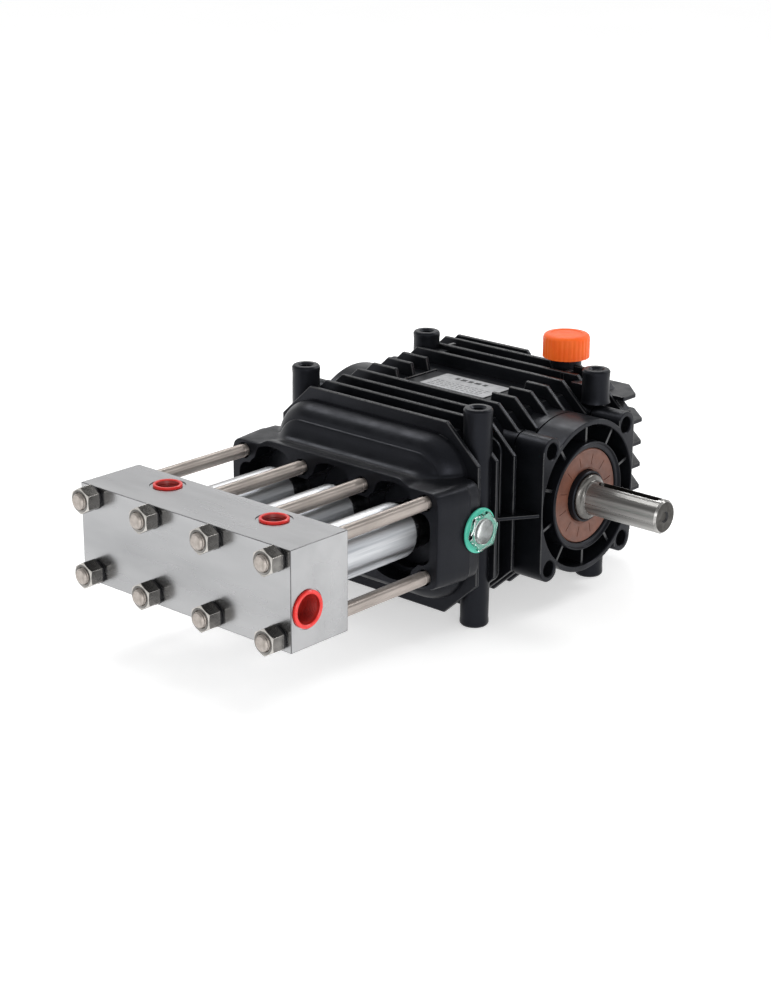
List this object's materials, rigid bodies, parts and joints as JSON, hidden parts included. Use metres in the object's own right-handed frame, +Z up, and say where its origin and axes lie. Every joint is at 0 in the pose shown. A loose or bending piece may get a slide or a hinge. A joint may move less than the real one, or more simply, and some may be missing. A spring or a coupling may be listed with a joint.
{
  "type": "plunger pump",
  "caption": "High pressure plunger pump with a finned black crankcase, steel manifold on tie studs, keyed drive shaft, sight glass and oil filler cap.",
  "frame": {"origin": "on the mounting plane under the lower feet, below the centre of the outer box", "axes": "+X along the crankshaft towards the drive shaft's end, +Y from the manifold to the rear cover, +Z up"},
  "size_m": [0.4214, 0.5896, 0.2475],
  "materials": {
    "black_casting": "satin black powder coat over a sand casting",
    "gasket": "matt fibre sheet",
    "bearing_steel": "ground",
    "seal_rubber": "matt brown moulding",
    "ground_steel": "ground and polished",
    "stainless_block": "milled, fine brushed",
    "orange_plastic": "semi-gloss moulded",
    "clear_plastic": "clear moulded",
    "green_rubber": "satin",
    "label_metal": "satin printed plate",
    "zinc_steel": "zinc plated",
    "red_plastic": "soft moulded",
    "forged_aluminium": "forged, matt",
    "cast_crosshead": "machined",
    "ceramic": "polished ceramic",
    "sleeve_chrome": "polished",
    "packing": "matt fabric-reinforced rings",
    "valve_steel": "ground",
    "stud_steel": "matt stainless",
    "nut_steel": "polished stainless"
  },
  "bodies": {
    "pump_body": {"blind_cover_gasket": "gasket", "blind_side_bearing": "bearing_steel", "blind_side_cover": "black_casting", "crankcase": "black_casting", "cylinder_sleeve_left": "sleeve_chrome", "cylinder_sleeve_middle": "sleeve_chrome", "cylinder_sleeve_right": "sleeve_chrome", "drain_plug": "zinc_steel", "drive_cover_gasket": "gasket", "drive_side_bearing": "bearing_steel", "drive_side_cover": "black_casting", "label_plate": "label_metal", "manifold": "stainless_block", "oil_seal": "seal_rubber", "plunger_packing_left": "packing", "plunger_packing_middle": "packing", "plunger_packing_right": "packing", "rear_cover": "black_casting", "rear_cover_gasket": "gasket", "sight_glass": "clear_plastic", "sight_glass_gasket": "green_rubber", "stud_nut_1": "nut_steel", "stud_nut_2": "nut_steel", "stud_nut_3": "nut_steel", "stud_nut_4": "nut_steel", "stud_nut_5": "nut_steel", "stud_nut_6": "nut_steel", "stud_nut_7": "nut_steel", "stud_nut_8": "nut_steel", "tie_stud_1": "stud_steel", "tie_stud_2": "stud_steel", "tie_stud_3": "stud_steel", "tie_stud_4": "stud_steel", "tie_stud_5": "stud_steel", "tie_stud_6": "stud_steel", "tie_stud_7": "stud_steel", "tie_stud_8": "stud_steel"},
    "crank": {"crankshaft": "ground_steel"},
    "rod_left": {"connecting_rod_left": "forged_aluminium", "wrist_pin_left": "ground_steel"},
    "piston_left": {"crosshead_left": "cast_crosshead", "plunger_left": "ceramic"},
    "rod_middle": {"connecting_rod_middle": "forged_aluminium", "wrist_pin_middle": "ground_steel"},
    "piston_middle": {"crosshead_middle": "cast_crosshead", "plunger_middle": "ceramic"},
    "rod_right": {"connecting_rod_right": "forged_aluminium", "wrist_pin_right": "ground_steel"},
    "piston_right": {"crosshead_right": "cast_crosshead", "plunger_right": "ceramic"},
    "suction_valve_left": {"suction_valve_left": "valve_steel"},
    "delivery_valve_left": {"delivery_valve_left": "valve_steel"},
    "suction_valve_middle": {"suction_valve_middle": "valve_steel"},
    "delivery_valve_middle": {"delivery_valve_middle": "valve_steel"},
    "suction_valve_right": {"suction_valve_right": "valve_steel"},
    "delivery_valve_right": {"delivery_valve_right": "valve_steel"},
    "filler_cap": {"oil_filler_cap": "orange_plastic"},
    "outlet_plug_left": {"outlet_plug_left": "red_plastic"},
    "outlet_plug_right": {"outlet_plug_right": "red_plastic"},
    "inlet_plug": {"inlet_plug": "red_plastic"}
  },
  "joints": [
    {"name": "crank_spin", "type": "hinge", "parent": "pump_body", "child": "crank", "pos_m": [-0.04575, 0.14555, 0.1145], "axis": [1, 0, 0], "continuous": true},
    {"name": "rod_pivot_left", "type": "hinge", "parent": "crank", "child": "rod_left", "pos_m": [-0.12845, 0.14555, 0.1295], "axis": [1, 0, 0], "continuous": true},
    {"name": "plunger_stroke_left", "type": "slide", "parent": "pump_body", "child": "piston_left", "axis": [0, 1, 0], "range_m": [-0.015, 0.015]},
    {"name": "rod_pivot_middle", "type": "hinge", "parent": "crank", "child": "rod_middle", "pos_m": [-0.04575, 0.13256, 0.107], "axis": [1, 0, 0], "continuous": true},
    {"name": "plunger_stroke_middle", "type": "slide", "parent": "pump_body", "child": "piston_middle", "axis": [0, 1, 0], "range_m": [-0.00201, 0.02799]},
    {"name": "rod_pivot_right", "type": "hinge", "parent": "crank", "child": "rod_right", "pos_m": [0.03695, 0.15854, 0.107], "axis": [1, 0, 0], "continuous": true},
    {"name": "plunger_stroke_right", "type": "slide", "parent": "pump_body", "child": "piston_right", "axis": [0, 1, 0], "range_m": [-0.02799, 0.00201]},
    {"name": "suction_lift_left", "type": "slide", "parent": "pump_body", "child": "suction_valve_left", "axis": [0, 1, 0], "range_m": [0, 0.0025], "stiffness_N_per_m": 200, "springref_m": -0.001},
    {"name": "delivery_lift_left", "type": "slide", "parent": "pump_body", "child": "delivery_valve_left", "axis": [0, 0, 1], "range_m": [0, 0.002], "stiffness_N_per_m": 200, "springref_m": -0.001},
    {"name": "suction_lift_middle", "type": "slide", "parent": "pump_body", "child": "suction_valve_middle", "axis": [0, 1, 0], "range_m": [0, 0.0025], "stiffness_N_per_m": 200, "springref_m": -0.001},
    {"name": "delivery_lift_middle", "type": "slide", "parent": "pump_body", "child": "delivery_valve_middle", "axis": [0, 0, 1], "range_m": [0, 0.002], "stiffness_N_per_m": 200, "springref_m": -0.001},
    {"name": "suction_lift_right", "type": "slide", "parent": "pump_body", "child": "suction_valve_right", "axis": [0, 1, 0], "range_m": [0, 0.0025], "stiffness_N_per_m": 200, "springref_m": -0.001},
    {"name": "delivery_lift_right", "type": "slide", "parent": "pump_body", "child": "delivery_valve_right", "axis": [0, 0, 1], "range_m": [0, 0.002], "stiffness_N_per_m": 200, "springref_m": -0.001},
    {"name": "filler_cap_lift", "type": "slide", "parent": "pump_body", "child": "filler_cap", "axis": [0, 0, 1], "range_m": [0, 0.14]},
    {"name": "outlet_plug_pull_left", "type": "slide", "parent": "pump_body", "child": "outlet_plug_left", "axis": [0, 0, 1], "range_m": [0, 0.03]},
    {"name": "outlet_plug_pull_right", "type": "slide", "parent": "pump_body", "child": "outlet_plug_right", "axis": [0, 0, 1], "range_m": [0, 0.03]},
    {"name": "inlet_plug_pull", "type": "slide", "parent": "pump_body", "child": "inlet_plug", "axis": [1, 0, 0], "range_m": [0, 0.03]}
  ],
  "couplings": [
    {"joint": "rod_pivot_left", "follows": "crank_spin", "ratio": -1},
    {"joint": "rod_pivot_middle", "follows": "crank_spin", "ratio": -1},
    {"joint": "rod_pivot_right", "follows": "crank_spin", "ratio": -1}
  ]
}
